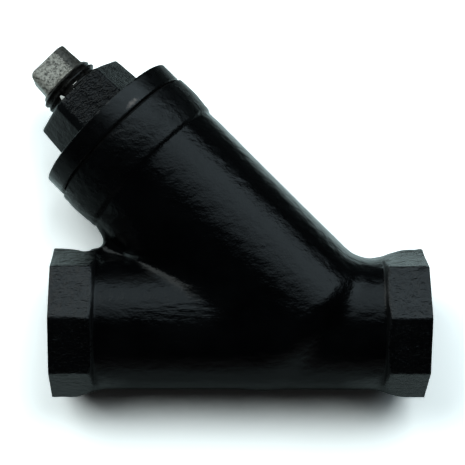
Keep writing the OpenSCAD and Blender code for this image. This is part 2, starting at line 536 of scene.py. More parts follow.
class NodeGraph:
    """The nodes of a material, a lamp or the world, added by short calls."""

    def __init__(self, owner: Material | bpy.types.Light | bpy.types.World) -> None:
        """Empties the owner's node tree.

        Args:
            owner: The material, lamp or world that gets the nodes.
        """
        owner.use_nodes = True
        self.owner = owner
        self.tree = owner.node_tree
        self.tree.nodes.clear()
        self.place = self.add("TexCoord").outputs["Object"]

    def add(
        self, kind: str, inputs: dict[str | int, object] | None = None, **settings: object
    ) -> bpy.types.Node:
        """Adds one node.

        Args:
            kind: The node's type, without its prefix.
            inputs: Values or sockets for the node's inputs.
            settings: The node's own settings.

        Returns:
            The new node.
        """
        node = self.tree.nodes.new(f"ShaderNode{kind}")
        for name, value in settings.items():
            setattr(node, name, value)
        for name, value in (inputs or {}).items():
            self.feed(node.inputs[name], value)
        return node

    def feed(self, socket: Socket, value: object) -> None:
        """Links a socket to another, or sets its value.

        Args:
            socket: The socket to fill.
            value: The value, or the socket to link.
        """
        if isinstance(value, Socket):
            self.tree.links.new(value, socket)
        else:
            socket.default_value = value

    def noise(
        self, size: float, detail: float = 2, rough: float = 0.5, place: Socket | None = None
    ) -> Socket:
        """Returns noise with lumps of a size in millimetres.

        Args:
            size: The lumps' size.
            detail: How many finer layers there are.
            rough: How strong the finer layers are.
            place: The coordinates, if not the object's own.

        Returns:
            The noise.
        """
        inputs = {"Vector": place or self.place, "Scale": 1 / (size * MM), "Detail": detail}
        inputs["Roughness"] = rough
        return self.add("TexNoise", inputs).outputs["Fac"]

    def on_branch(self) -> Socket:
        """Returns coordinates with Z along the branch's axis.

        Returns:
            The turned coordinates.
        """
        origin = tuple(-value * MM for value in BRANCH.origin)
        moved = self.add("Mapping", {"Vector": self.place, "Location": origin}).outputs[0]
        turn = BRANCH.place().to_3x3().inverted().to_euler()
        return self.add("Mapping", {"Vector": moved, "Rotation": turn}).outputs[0]

    def span(
        self, value: Socket, start: float, end: float, low: float = 0, high: float = 1
    ) -> Socket:
        """Carries a value from one range to another, and holds it there."""
        inputs = {"Value": value, "From Min": start, "From Max": end, "To Min": low, "To Max": high}
        return self.add("MapRange", inputs).outputs[0]

    def math(self, work: str, a: object, b: object = 0.0, c: object = 0.0) -> Socket:
        """Returns the result of one sum."""
        return self.add("Math", {0: a, 1: b, 2: c}, operation=work).outputs[0]

    def mix(self, share: object, a: object, b: object) -> Socket:
        """Mixes two colours.

        Args:
            share: How much of the second colour there is.
            a: The first colour.
            b: The second colour.

        Returns:
            The mixed colour.
        """
        node = self.add("Mix", data_type="RGBA")
        for socket, value in zip((node.inputs[0], node.inputs[6], node.inputs[7]), (share, a, b)):
            self.feed(socket, value)
        return node.outputs[2]

    def bump(
        self, height: Socket, depth: float, strength: object = 1.0,
        normal: Socket | None = None,
    ) -> Socket:
        """Returns a normal bumped by a height of some depth in millimetres.

        Args:
            height: The height, from 0 to 1.
            depth: The depth of the full height.
            strength: How much of it shows.
            normal: The normal so far.

        Returns:
            The new normal.
        """
        inputs: dict[str | int, object] = {"Height": height, "Distance": depth * MM, "Strength": strength}
        if normal:
            inputs["Normal"] = normal
        return self.add("Bump", inputs).outputs[0]

    def fade(self, value: Socket, levels: Levels) -> Socket:
        """Carries a value from 0 to 1 through a row of grey levels.

        Args:
            value: The value to carry.
            levels: Each level's place from 0 to 1, and the level.

        Returns:
            The grey level.
        """
        node = self.add("ValToRGB", {0: value})
        stops = node.color_ramp.elements
        for index, (at, level) in enumerate(levels):
            stop = stops[index] if index < len(stops) else stops.new(at)
            stop.position = at
            stop.color = (level, level, level, 1)
        return node.outputs[0]

    def split(self, vector: Socket) -> dict[str, Socket]:
        """Returns a vector's X, Y and Z by name."""
        return dict(zip("XYZ", self.add("SeparateXYZ", {0: vector}).outputs))

    def finish(self, shader: str, inputs: dict[str | int, object], output: str = "OutputMaterial") -> object:
        """Ends the nodes in one shader.

        Args:
            shader: The shader node's type, without its prefix.
            inputs: Values or sockets for its inputs.
            output: The output node's type, without its prefix.

        Returns:
            The material, lamp or world that has the nodes.
        """
        self.add(output, {"Surface": self.add(shader, inputs).outputs[0]})
        return self.owner


@dataclass(frozen=True)
class Paint:
    """Black paint on a rough casting."""

    name: str
    gloss: float
    dull: float
    peel_size: float
    peel_depth: float
    lump_size: float
    lump_depth: float
    dark: Colour = (0.0007, 0.0008, 0.001, 1)
    pale: Colour = (0.0016, 0.0018, 0.0021, 1)
    patch_size: float = 9.0
    patch_span: Pair = (0.35, 0.7)
    dull_size: float = 2.2
    flow: Triple = (0.8, 1.0, 1.0)
    on_branch: bool = False
    # Glint spots: a painted highlight, paler colour standing for a glint on the paint.
    glints: tuple[Triple, ...] = ()
    glint_size: float = 1.1
    glint_stretch: Triple = (0.32, 0.5, 1.1)
    glint_colour: Colour = (0.1, 0.085, 0.08, 1)
    glint_ragged: float = 0.6
    glint_edge: Pair = (0.5, 1.1)
    ripple_depth: float = 0.0
    ripple_size: float = 0.85
    ripple_flow: Triple = (0.2, 1.0, 1.0)
    ripple_from: Triple = (-66.0, -0.8, 12.6)
    ripple_to: Triple = (-40.0, 4.2, 16.0)
    ripple_ease: Triple = (8.0, 1.0, 0.6)
    smooth_below: float | None = None
    smooth_ease: float = 0.5
    smooth_share: float = 0.12
    crisp: bool = False
    crisp_width: float = 0.12
    ior: float = 1.5
    shoulder_dull: float = 0.0

    def with_glints(self, graph: NodeGraph, colour: Socket) -> Socket:
        """Returns the paint's colour with a painted highlight at each glint spot, placed in the branch's
        frame.

        Args:
            graph: The material's nodes.
            colour: The colour so far.

        Returns:
            The new colour.
        """
        local = graph.on_branch()
        size = self.glint_size * MM
        ragged = graph.math("MULTIPLY", graph.noise(self.glint_ragged, 3), size)
        for glint in self.glints:
            shift = {0: local, 1: tuple(value * MM for value in glint)}
            off = graph.add("VectorMath", shift, operation="SUBTRACT").outputs[0]
            off = graph.add("VectorMath", {0: off, 1: self.glint_stretch}, operation="MULTIPLY").outputs[0]
            gap = graph.add("VectorMath", {0: off}, operation="LENGTH").outputs["Value"]
            start, end = (edge * size for edge in self.glint_edge)
            # Painted highlight: the share of the glint colour, falling off from each spot's centre.
            bare_and_glint = graph.span(graph.math("ADD", gap, ragged), start, end, 1, 0)
            colour = graph.mix(bare_and_glint, colour, self.glint_colour)
        return colour

    def rippled(self, graph: NodeGraph, normal: Socket) -> Socket:
        """Returns the normal with the long runs that the paint left along the ridge.

        Args:
            graph: The material's nodes.
            normal: The normal so far.

        Returns:
            The new normal.
        """
        place = graph.split(graph.place)
        share: object = 1.0
        for axis, start, end, ease in zip("XYZ", self.ripple_from, self.ripple_to, self.ripple_ease):
            rise = graph.span(place[axis], start * MM, (start + ease) * MM)
            fall = graph.span(place[axis], (end - ease) * MM, end * MM, 1, 0)
            share = graph.math("MULTIPLY", share, graph.math("MULTIPLY", rise, fall))
        drawn = graph.add("Mapping", {"Vector": graph.place, "Scale": self.ripple_flow}).outputs[0]
        return graph.bump(graph.noise(self.ripple_size, 2, 0.4, drawn), self.ripple_depth, share, normal)

    def material(self) -> Material:
        """Returns the paint's material.

        Returns:
            The material.
        """
        graph = NodeGraph(bpy.data.materials.new(self.name))
        place = graph.on_branch() if self.on_branch else graph.place
        drawn = graph.add("Mapping", {"Vector": place, "Scale": self.flow}).outputs[0]
        patches = graph.span(graph.noise(self.patch_size, 3), *self.patch_span)
        colour = graph.mix(patches, self.dark, self.pale)
        # Painted highlight at the glint spots.
        if self.glints:
            colour = self.with_glints(graph, colour)
        rough = graph.span(graph.noise(self.dull_size, 4, 0.6), *DULL_SPAN, self.gloss, self.dull)
        if self.shoulder_dull:
            mark = graph.add("Attribute", attribute_name=SHOULDER_MARK).outputs["Fac"]
            rough = graph.add("Mix", {0: mark, 2: rough, 3: self.shoulder_dull}).outputs[0]
        strength: object = 1.0
        if self.smooth_below is not None:
            across = graph.split(graph.on_branch())["X"]
            start, ease = self.smooth_below * MM, self.smooth_ease * MM
            strength = graph.span(across, start - ease, start + ease, self.smooth_share, 1)
        lumps = graph.noise(self.lump_size, 2, 0.5, drawn)
        if self.crisp:
            off_level = graph.math("ABSOLUTE", graph.math("SUBTRACT", lumps, 0.5))
            lumps = graph.span(off_level, 0, self.crisp_width, 1, 0)
        normal = graph.bump(lumps, self.lump_depth, strength)
        normal = graph.bump(graph.noise(self.peel_size, 3, 0.55, drawn), self.peel_depth, strength, normal)
        if self.ripple_depth:
            normal = self.rippled(graph, normal)
        inputs = {"Base Color": colour, "Roughness": rough, "Normal": normal, "IOR": self.ior}
        return graph.finish("BsdfPrincipled", inputs)


@dataclass(frozen=True)
class BareMetal:
    """Bare iron or steel with grain, dirt and rust."""

    name: str
    bright: Colour
    dirty: Colour
    dirt: float
    metallic: float
    gloss: float
    dull: float
    grain_size: float
    grain_depth: float
    dirt_fade: float = 0.25
    scale_from: float = 0.0
    scale_edge: Pair = (-0.1, 0.3)
    scale_size: float = 0.35
    scale_ragged: float = 4.0
    scale_share: float = 0.85

    def material(self) -> Material:
        """Returns the metal's material.

        Returns:
            The material.
        """
        graph = NodeGraph(bpy.data.materials.new(self.name))
        clouds = graph.noise(self.grain_size * 2, 5, 0.6)
        clean = graph.span(clouds, self.dirt, self.dirt + self.dirt_fade)
        colour = graph.mix(clean, self.dirty, self.bright)
        if self.scale_from:
            place = graph.split(graph.on_branch())
            corner = graph.math("MINIMUM", place["X"], graph.math("ABSOLUTE", place["Y"]))
            specks = graph.noise(self.scale_size, 3, 0.6)
            corner = graph.math("MULTIPLY_ADD", specks, self.scale_ragged * MM, corner)
            start, end = ((self.scale_from + edge) * MM for edge in self.scale_edge)
            scaled = graph.span(corner, start, end, 0, self.scale_share)
            colour = graph.mix(scaled, colour, self.dirty)
        rough = graph.span(graph.noise(self.grain_size * 2, 4, 0.6), *DULL_SPAN, self.gloss, self.dull)
        normal = graph.bump(graph.noise(self.grain_size, 4, 0.6), self.grain_depth)
        inputs = {"Base Color": colour, "Roughness": rough, "Normal": normal, "Metallic": self.metallic}
        return graph.finish("BsdfPrincipled", inputs)


@dataclass(frozen=True)
class Weave:
    """Fine wire mesh wrapped round the branch's axis."""

    name: str
    wire: Colour
    gap: Colour
    pitch: float
    radius: float
    dull: float = 0.35
    depth: float = 0.1
    wire_span: Pair = (0.2, 0.8)

    def material(self) -> Material:
        """Returns the mesh's material.

        Returns:
            The material.
        """
        graph = NodeGraph(bpy.data.materials.new(self.name))
        place = graph.split(graph.on_branch())
        angle = graph.math("ARCTAN2", place["Y"], place["X"])
        round_way = graph.math("SINE", graph.math("MULTIPLY", angle, math.tau * self.radius / self.pitch))
        length = graph.math("SINE", graph.math("MULTIPLY", place["Z"], math.tau / (self.pitch * MM)))
        height = graph.math("MAXIMUM", round_way, length)
        colour = graph.mix(graph.span(height, *self.wire_span), self.gap, self.wire)
        normal = graph.bump(height, self.depth)
        inputs = {"Base Color": colour, "Roughness": self.dull, "Normal": normal, "Metallic": 1.0}
        return graph.finish("BsdfPrincipled", inputs)


Finish = Paint | BareMetal | Weave
BODY_PAINT = Paint(
    "black_casting_paint",
    gloss=0.13, dull=0.24, peel_size=0.45, peel_depth=0.055, lump_size=1.5, lump_depth=0.1,
    ripple_depth=0.22, ior=1.45, shoulder_dull=0.6,
)
END_PAINT = Paint(
    "black_octagon_paint",
    gloss=0.15, dull=0.28, peel_size=0.32, peel_depth=0.15, lump_size=1.2, lump_depth=0.32, ior=1.68,
    shoulder_dull=0.6,
)
COLLAR_PAINT = Paint(
    "black_collar_paint",
    gloss=0.22, dull=0.38, peel_size=0.35, peel_depth=0.07, lump_size=1.2, lump_depth=0.15, ior=1.5,
)
FLANGE_PAINT = Paint(
    "black_flange_paint",
    gloss=0.22, dull=0.38, peel_size=0.45, peel_depth=0.03, lump_size=1.5, lump_depth=0.06, ior=1.6,
    # Painted highlight: a pale ragged spot for the glint on the flange's lower edge.
    glints=((5.25, -16.8, 58.5),),
)
HEXAGON_PAINT = Paint(
    "wrinkled_hexagon_paint", dark=(0.0016, 0.0018, 0.0021, 1), pale=(0.0045, 0.005, 0.0055, 1),
    gloss=0.13, dull=0.24, peel_size=0.22, peel_depth=0.05, lump_size=0.75, lump_depth=0.08,
    flow=(0.5, 1.0, 1.0), on_branch=True, smooth_below=-5.1, crisp=True, ior=1.42,
)
BORE_IRON = BareMetal(
    "bare_bore_iron", (0.16, 0.155, 0.15, 1), (0.05, 0.045, 0.04, 1),
    dirt=0.35, metallic=0.9, gloss=0.3, dull=0.55, grain_size=0.3, grain_depth=0.01,
)
PLUG_IRON = BareMetal(
    "bare_plug_iron", (0.5, 0.485, 0.435, 1), (0.032, 0.032, 0.029, 1),
    dirt=0.34, metallic=0.5, gloss=0.32, dull=0.48, grain_size=0.26, grain_depth=0.09, scale_from=4.2,
)
THREAD_IRON = BareMetal(
    "oily_thread_iron", (0.015, 0.014, 0.013, 1), (0.002, 0.0018, 0.0016, 1),
    dirt=0.4, metallic=0.2, gloss=0.22, dull=0.45, grain_size=0.3, grain_depth=0.05,
)
GASKET_FIBRE = BareMetal(
    "fibre_gasket", (0.003, 0.0025, 0.002, 1), (0.0008, 0.0007, 0.0006, 1),
    dirt=0.45, metallic=0.0, gloss=0.6, dull=0.9, grain_size=0.4, grain_depth=0.05,
)
TAPE_FILM = BareMetal(
    "thread_tape_film", (0.82, 0.82, 0.79, 1), (0.45, 0.43, 0.4, 1),
    dirt=0.3, metallic=0.0, gloss=0.45, dull=0.7, grain_size=0.3, grain_depth=0.02,
)
SCREEN_STEEL = BareMetal(
    "screen_sheet_steel", (0.56, 0.56, 0.55, 1), (0.36, 0.35, 0.33, 1),
    dirt=0.3, metallic=1.0, gloss=0.22, dull=0.4, grain_size=0.25, grain_depth=0.005,
)
MESH_STEEL = Weave("woven_mesh_steel", (0.6, 0.6, 0.59, 1), (0.06, 0.06, 0.06, 1), pitch=0.5, radius=9.0)


def make_piece(name: str, mesh: Mesh, body: BodyName, node: str, slot: Slot, *finishes: Finish) -> None:
    """Puts a finished mesh into the scene in place of a CAD node.

    Args:
        name: The piece's name.
        mesh: Its mesh, in millimetres in the part's frame.
        body: The body that it rides on.
        node: The CAD node that it stands for.
        slot: The record's slot for its finish; not used.
        finishes: Its finishes, in the order of its faces' indices.
    """
    mesh.transform(Matrix.Scale(MM, 4))
    mesh.name = name
    for index, finish in enumerate(finishes):
        if index < len(mesh.materials):
            mesh.materials[index] = finish.material()
        else:
            mesh.materials.append(finish.material())
    mesh.polygons.foreach_set("use_smooth", np.ones(len(mesh.polygons), bool))
    mesh.set_sharp_from_angle(angle=math.radians(SHARP_ANGLE))
    piece = placed(name, mesh)
    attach(piece, body.value)
    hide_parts(node)
    LOG.info("%s: %d faces on %s", name, len(mesh.polygons), body.value)


def face_centres(mesh: Mesh) -> Array:
    """Returns the centre of each face, one in each row.

    Args:
        mesh: The mesh, in millimetres.

    Returns:
        The centres.
    """
    flat = np.empty(len(mesh.polygons) * 3)
    mesh.polygons.foreach_get("center", flat)
    return flat.reshape(-1, 3)


def dress_faces(mesh: Mesh, indices: Array) -> None:
    """Gives each face its material's index.

    Args:
        mesh: The mesh, in millimetres.
        indices: Each face's index.
    """
    for _ in range(int(indices.max()) + 1 - len(mesh.materials)):
        mesh.materials.append(None)
    mesh.polygons.foreach_set("material_index", indices.astype(np.int32))


@dataclass
class StrainerBody:
    """The iron casting with its run, branch, pipe ports and screen chamber."""

    run_length: float = 80.0
    run_r: float = 14.2
    end_af: float = 29.5
    end_length: float = 9.0
    end_sides: int = 8
    end_sharpness: float = 240
    end_round: float = 0.4
    end_ease: float = 0.7
    end_fade: float = 1.0
    shoulder_at: float = 8.7
    shoulder_run: float = 0.6
    shoulder_lean: Pair = (0.3, 0.6)
    shoulder_half: Pair = (1.0, 1.8)
    parting_at: float = 5.0
    parting_run: float = 5.2
    parting_half: float = 9.0
    flash: float = 0.34
    flash_rise: Pair = (8.0, 12.0)
    flash_width: float = 2.0
    flash_length: float = 8.0
    flash_full: float = 1.2
    branch_r: float = 17.4
    branch_reach: float = 56.8
    foot: float = 3.5
    foot_round: float = 5.4
    collar_start: float = 47.5
    collar_slope: float = 0.7
    collar_swell: float = 4.7
    collar_lip: float = 2.6
    collar_foot_r: float = 17.85
    collar_r: float = 18.3
    collar_lip_r: float = 18.2
    collar_sink: float = 0.09
    collar_fade: Pair = (-4.0, 1.0)
    crease: float = 3.6
    wide_crease: float = 2.4
    wide_side: Pair = (-2.0, 5.0)
    crotch: float = 2.6
    crotch_level: float = 8.0
    crotch_height: Pair = (12.0, 24.0)
    crotch_side: Pair = (8.0, 16.0)
    crotch_round: float = 2.4
    crotch_web: float = 3.0
    web_ease: float = 3.2
    web_foot_round: float = 0.5
    web_end_round: float = 2.4
    web_side_round: float = 2.0
    web_block: float = 7.0
    web_drop: float = 1.5
    waterway_r: float = 8.0
    elbow_r: float = 8.5
    elbow_steps: int = 48
    outlet_start: float = 38.87
    port_r: float = 9.2
    port_depth: float = 14.0
    port_pitch: float = 1.814
    port_thread: Pair = (0.6, 12.6)
    port_thread_depth: float = 1.05
    port_thread_lead: float = 1.0
    port_chamfer: Pair = (0.35, 1.4)
    port_floor: float = 1.0
    chamber_floor: float = 5.0
    seat_at: float = 3.5
    seat_r: float = 10.6
    seat_over: float = 0.5
    chamber_r: float = 13.2
    mouth_pitch: float = 2.0
    mouth_crest_r: float = 12.3
    mouth_start: float = 43.3
    mouth_end: float = 56.3
    mouth_chamfer: float = 0.3
    flow: Triple = (0.8, 1.0, 1.0)
    waves: Relief = ((0.035, 11.0, 1.0),)
    lumps: Relief = ((0.04, 2.6, 5.0), (0.03, 1.1, 9.0))
    hammer: Relief = ((0.06, 1.9, 17.0), (0.03, 0.9, 19.0))
    grain: float = 0.45
    barrel_steps: int = 64
    over: float = 2.0
    face_spare: float = 0.5
    face_round: float = 0.8
    face_skin: float = 0.02
    paint_depth: float = 0.9
    end_high: float = 0.57

    @property
    def end_corner_r(self) -> float:
        """Radius of an octagon's corners."""
        return self.end_af / 2 / math.cos(math.pi / self.end_sides)

    @property
    def web_centre(self) -> Pair:
        """Centre of the round hollow in the narrow crotch, in X and Y."""
        high = self.end_corner_r + self.crotch_round
        across = -self.branch_r - self.crotch_round
        return BRANCH.origin[0] + across * math.sqrt(2) - high, high

    def depth_of(self, points: Array) -> Array:
        """Returns how far each point lies inside the nearer end face of the run."""
        return np.minimum(-points[:, 0], self.run_length + points[:, 0])

    def run_skin(self, points: Array) -> Array:
        """Finds the distance to the run's barrel and its octagon ends.

        Args:
            points: One point in each row, in millimetres.

        Returns:
            The distance at each point, in millimetres.
        """
        _, y, z = points.T
        radius = np.hypot(y, z)
        depth = self.depth_of(points)
        octagon = prism(
            z, y, self.end_af / 2, self.end_sides, math.pi / self.end_sides, self.end_sharpness
        )
        along = self.flash_full - np.clip(depth / self.flash_length, 0, 1)
        octagon -= self.flash * ramp(y, *self.flash_rise) * np.exp(-(z / self.flash_width) ** 2) * along
        front = ramp(np.abs(z), 0.0, self.parting_half)
        run_out = self.parting_run + (self.shoulder_run - self.parting_run) * front
        start = self.parting_at + (self.shoulder_at - self.parting_at) * front + run_out
        slope = (self.end_corner_r - self.run_r) / run_out
        shoulder = (radius - self.run_r - (start - depth) * slope) / np.hypot(1, slope)
        ends = blend_max(octagon, shoulder, self.end_round)
        return blend_min(radius - self.run_r, ends, self.end_ease)

    def branch_skin(self, points: Array) -> Array:
        """Finds the distance to the branch with its rounded foot and collar.

        Args:
            points: One point in each row, in millimetres.

        Returns:
            The distance at each point, in millimetres.
        """
        x, y, t = BRANCH.local(points).T
        radius = np.hypot(x, y)
        start, top = self.collar_start, self.branch_reach
        heights = [start, start + self.collar_slope, start + self.collar_swell, top - self.collar_lip, top]
        radii = [self.branch_r, self.collar_foot_r, self.collar_r, self.collar_r, self.collar_lip_r]
        side = radius - np.interp(t, heights, radii)
        out = radius - (self.branch_r - self.foot_round)
        foot = corner_of(out, self.foot_round - self.foot - t) - self.foot_round
        return np.where(t < self.foot_round, foot, side)

    def web_skin(self, points: Array) -> Array:
        """Finds the distance to the web that fills the narrow crotch round its hollow.

        Args:
            points: One point in each row, in millimetres.

        Returns:
            The distance at each point, in millimetres.
        """
        x, y = (points[:, axis] - centre for axis, centre in enumerate(self.web_centre))
        hollow = self.crotch_round - np.hypot(x, y)
        beyond = (x * BRANCH.along[0] + y * BRANCH.along[1]) / math.hypot(*BRANCH.along[:2])
        reach = (self.crotch_round + self.branch_r) * math.sqrt(0.5)
        web = np.maximum.reduce([hollow, x - reach, self.run_r / 2 - points[:, 1]])
        web = blend_max(web, -x, self.web_foot_round)
        web = blend_max(web, beyond, self.web_end_round)
        return blend_max(web, np.abs(points[:, 2]) - self.crotch_web / 2, self.web_side_round)

    def skin(self, points: Array) -> Array:
        """Finds the distance to the whole casting, with its fillets.

        Args:
            points: One point in each row, in millimetres.

        Returns:
            The distance at each point, in millimetres.
        """
        across, _, height = BRANCH.local(points).T
        level = np.exp(-(points[:, 2] / self.crotch_level) ** 2) * ramp(height, *self.crotch_height)
        width = self.crease + (self.crotch - self.crease) * level * ramp(-across, *self.crotch_side)
        width += (self.wide_crease - self.crease) * ramp(across, *self.wide_side)
        whole = blend_min(self.run_skin(points), self.branch_skin(points), width)
        whole = blend_min(whole, self.web_skin(points), self.web_ease)
        x = points[:, 0]
        for face in (x, -self.run_length - x):
            whole = blend_max(whole, face - self.face_spare, self.face_round)
        return np.maximum(whole, height - self.branch_reach - self.over)

    def lump(self) -> Mesh:
        """Makes the overlapping solids that the casting starts from.

        Returns:
            The lump's mesh.
        """
        bm = bmesh.new()
        depth = self.end_length + self.face_spare
        ends = [
            (self.barrel_steps, self.run_r, -self.run_length / 2, self.run_length + 2 * self.face_spare),
            (self.end_sides, self.end_corner_r, self.face_spare - depth / 2, depth),
            (self.end_sides, self.end_corner_r, self.end_length - self.run_length - depth / 2, depth),
        ]
        for steps, radius, middle, length in ends:
            along = Matrix.Translation((middle, 0, 0)) @ Matrix.Rotation(math.pi / 2, 4, "Y")
            bmesh.ops.create_cone(
                bm, cap_ends=True, segments=steps, radius1=radius, radius2=radius, depth=length, matrix=along
            )
        outline = capped([
            (self.branch_r - self.foot_round, -self.foot), (self.branch_r, self.foot_round - self.foot),
            (self.branch_r, self.collar_start), (self.collar_r, self.collar_start + self.collar_swell),
            (self.collar_r, self.branch_reach + self.over),
        ])
        bmesh.ops.transform(bm, matrix=BRANCH.place(), verts=turned(bm, outline))
        x, y = self.web_centre
        corner = Matrix.Translation((x + self.crotch_round + self.web_block / 2, y - self.web_drop, 0))
        size = Matrix.Diagonal((self.web_block, self.web_block, self.crotch_web, 1))
        bmesh.ops.create_cube(bm, size=1, matrix=corner @ size)
        return mesh_of(bm)

    def sag(self, points: Array) -> Array:
        """Finds how far the cast skin lies below its true form, or above it where negative.

        Args:
            points: One point in each row, in millimetres.

        Returns:
            The depth at each point.
        """
        start, end = self.end_length - self.end_fade, self.end_length + self.end_fade
        at_end = 1 - ramp(self.depth_of(points), start, end)
        start, end = (self.collar_start + ease for ease in self.collar_fade)
        in_collar = ramp(BRANCH.local(points)[:, 2], start, end)
        rough = relief(points, self.waves) + relief(points * np.array(self.flow), self.lumps)
        return rough + at_end * relief(points, self.hammer) + self.collar_sink * in_collar

    def port_tool(self, face: float, along: float) -> Mesh:
        """Returns the solid that cuts one threaded pipe port.

        Args:
            face: Where the port's face lies along X.
            along: The direction into the port along X.

        Returns:
            The tool's mesh.
        """
        crest_r = self.port_r + self.port_thread_depth
        wide, deep = self.port_chamfer
        thread = Thread(
            self.port_r, crest_r, self.port_pitch, *self.port_thread, lead=self.port_thread_lead
        )
        outline = [
            (crest_r + wide, -self.over), (crest_r + wide, 0.0), (self.port_r, deep),
            (self.port_r, self.port_depth), (self.waterway_r, self.port_depth + self.port_floor),
        ]
        return thread.mesh(outline, Axis((face, 0, 0), (along, 0, 0), (0, 0, 1)))

    def chamber_tool(self) -> Mesh:
        """Makes the solid that cuts the screen chamber, its seat and the threaded mouth.

        Returns:
            The tool's mesh.
        """
        lip_r = self.chamber_r + self.mouth_chamfer
        outline = [
            (self.seat_r, self.seat_at), (self.seat_r, self.chamber_floor),
            (self.chamber_r, self.chamber_floor), (self.chamber_r, self.mouth_start),
            (self.chamber_r, self.mouth_end), (lip_r, self.branch_reach),
            (lip_r, self.branch_reach + self.over),
        ]
        thread = Thread(
            self.mouth_crest_r, self.chamber_r, self.mouth_pitch, self.mouth_start, self.mouth_end
        )
        return thread.mesh(outline, BRANCH)

    def cavity(self) -> Mesh:
        """Makes everything that is cut out of the casting, as one solid.

        Returns:
            The tool's mesh.
        """
        way = self.waterway_r
        ball = bmesh.new()
        bmesh.ops.create_uvsphere(
            ball, u_segments=self.elbow_steps, v_segments=self.elbow_steps // 2, radius=self.elbow_r
        )
        parts = [
            rod(RUN, way, self.port_depth, -BRANCH.origin[0]),
            mesh_of(ball, BRANCH.place()),
            rod(BRANCH, way, 0, self.seat_at + self.seat_over),
            self.chamber_tool(),
            rod(RUN, way, self.outlet_start, self.run_length - self.port_depth),
            self.port_tool(-self.run_length, 1),
        ]
        tool = self.port_tool(0, -1)
        for part in parts:
            tool = combined(tool, part, Cut.JOIN)
        return tool

    def shoulder_share(self, points: Array) -> Array:
        """Returns how far each point lies on an octagon's shoulder, from 0 to 1."""
        leaning = ramp(np.abs(slope_of(self.run_skin, points)[:, 0]), *self.shoulder_lean)
        return leaning * (1 - ramp(np.abs(self.depth_of(points) - self.shoulder_at), *self.shoulder_half))

    def dress(self, mesh: Mesh) -> None:
        """Marks the bores, octagons and collar by material, and the shoulders by share.

        Args:
            mesh: The mesh, in millimetres.
        """
        centres = face_centres(mesh)
        depth = self.depth_of(centres)
        bare_and_glint = (self.skin(centres) < -self.paint_depth) & (depth >= self.face_skin)
        at_end = (depth < self.end_length) & (np.abs(centres[:, 1]) < self.end_af * self.end_high)
        in_collar = BRANCH.local(centres)[:, 2] > self.collar_start
        dress_faces(mesh, np.select([bare_and_glint, at_end, in_collar], [1, 2, 3], 0))
        mark = mesh.attributes.new(SHOULDER_MARK, "FLOAT", "POINT")
        mark.data.foreach_set("value", self.shoulder_share(read_points(mesh)).astype(np.float32))

    def build(self) -> None:
        """Makes the painted casting with its bare bores."""
        mesh = cast(self.lump(), self.skin, self.grain)
        roughen(mesh, self.skin, self.sag)
        trim(mesh, BRANCH.place() @ Vector((0, 0, self.branch_reach)), Vector(BRANCH.along))
        trim(mesh, Vector((0, 0, 0)), Vector((1, 0, 0)))
        trim(mesh, Vector((-self.run_length, 0, 0)), Vector((-1, 0, 0)))
        mesh = combined(mesh, self.cavity(), Cut.TAKE_AWAY)
        self.dress(mesh)
        make_piece(
            "strainer_body", mesh, BodyName.BODY, "body", Slot.BODY_PAINT,
            BODY_PAINT, BORE_IRON, END_PAINT, COLLAR_PAINT,
        )


